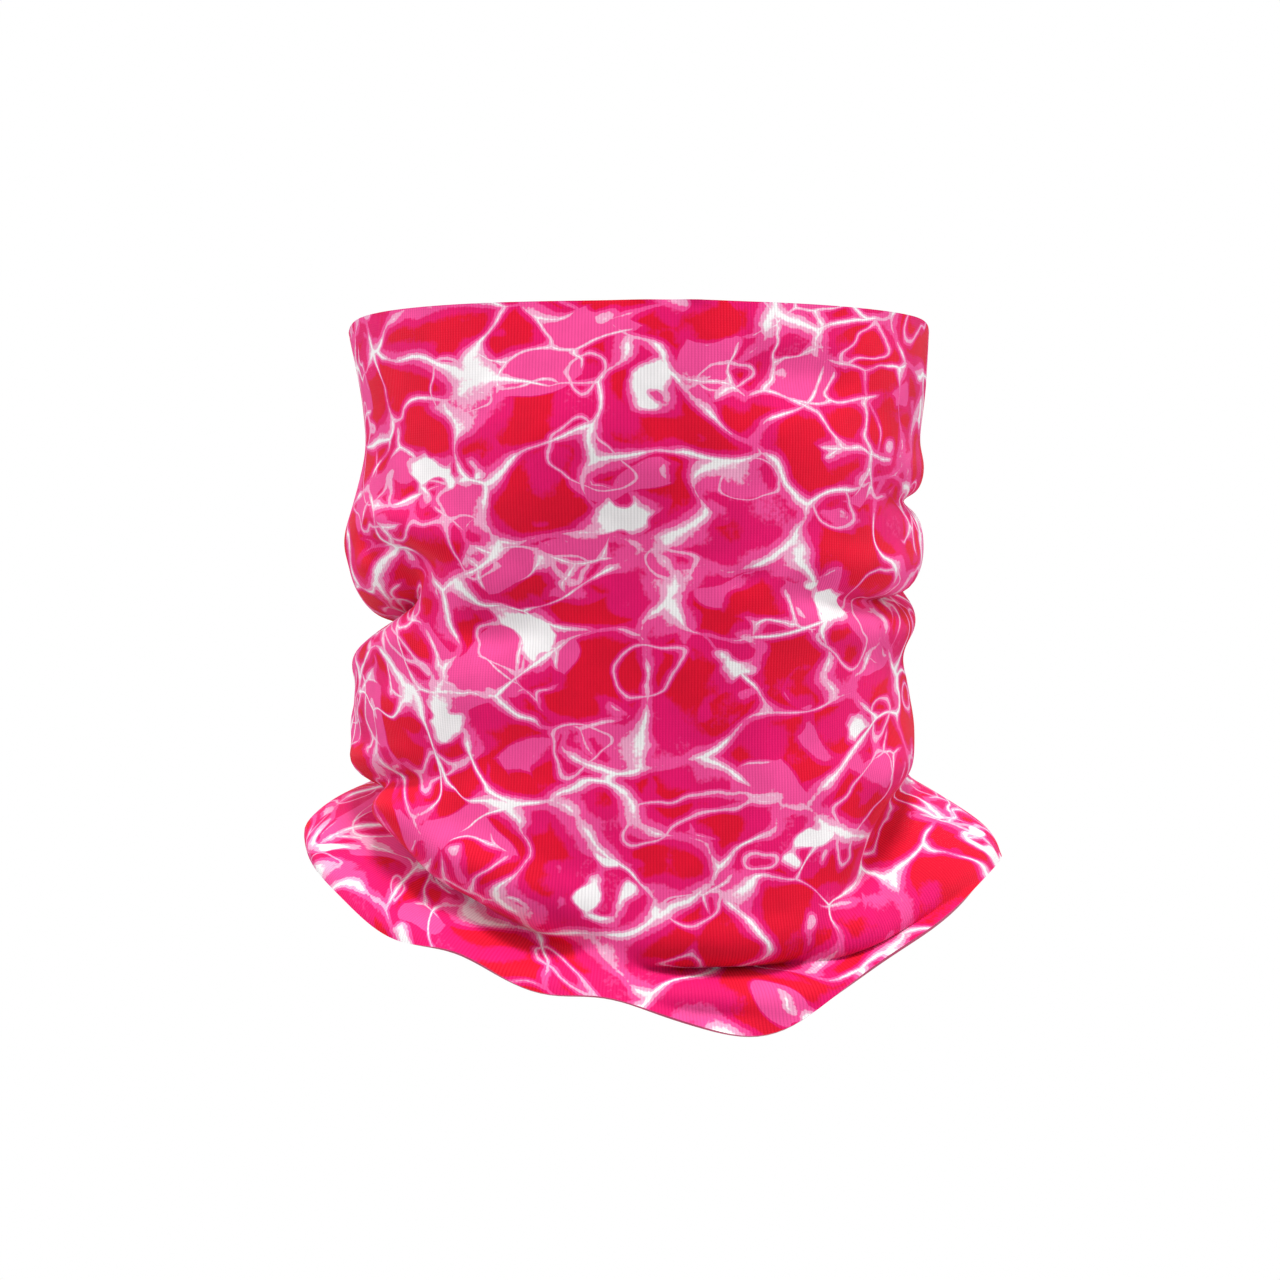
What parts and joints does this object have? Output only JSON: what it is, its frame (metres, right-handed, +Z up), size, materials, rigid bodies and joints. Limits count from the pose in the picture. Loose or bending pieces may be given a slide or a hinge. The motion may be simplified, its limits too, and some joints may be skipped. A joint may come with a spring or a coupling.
{
  "type": "neck gaiter",
  "caption": "Seamed tube of printed knit worn over the neck, chin and nose, with its hem spread over the shoulders and a care label inside the back.",
  "frame": {"origin": "on the middle of the wearer's neck, at the height of the narrowest part of the tube", "axes": "+Z up along the neck, -Y out of the wearer's face, +X to the wearer's left"},
  "size_m": [0.1824, 0.1853, 0.1796],
  "materials": {
    "knit": "fine ribbed polyester knit, printed on its outside with a pink, red and white water ripple",
    "sewing_thread": "spun polyester thread",
    "label_satin": "woven satin ribbon without lettering"
  },
  "bodies": {
    "tube": {"knit_tube": "knit", "seam_needle_thread_1": "sewing_thread", "seam_needle_thread_2": "sewing_thread", "seam_needle_thread_3": "sewing_thread", "seam_needle_thread_4": "sewing_thread", "seam_cover_thread": "sewing_thread", "seam_looper_thread": "sewing_thread", "label_tack_thread": "sewing_thread"},
    "label": {"care_label": "label_satin"}
  },
  "joints": [
    {"name": "care_label_flap", "type": "hinge", "parent": "tube", "child": "label", "pos_m": [0, 0.0785, 0.073], "axis": [-1, 0, 0], "range_deg": [0, 120]}
  ]
}
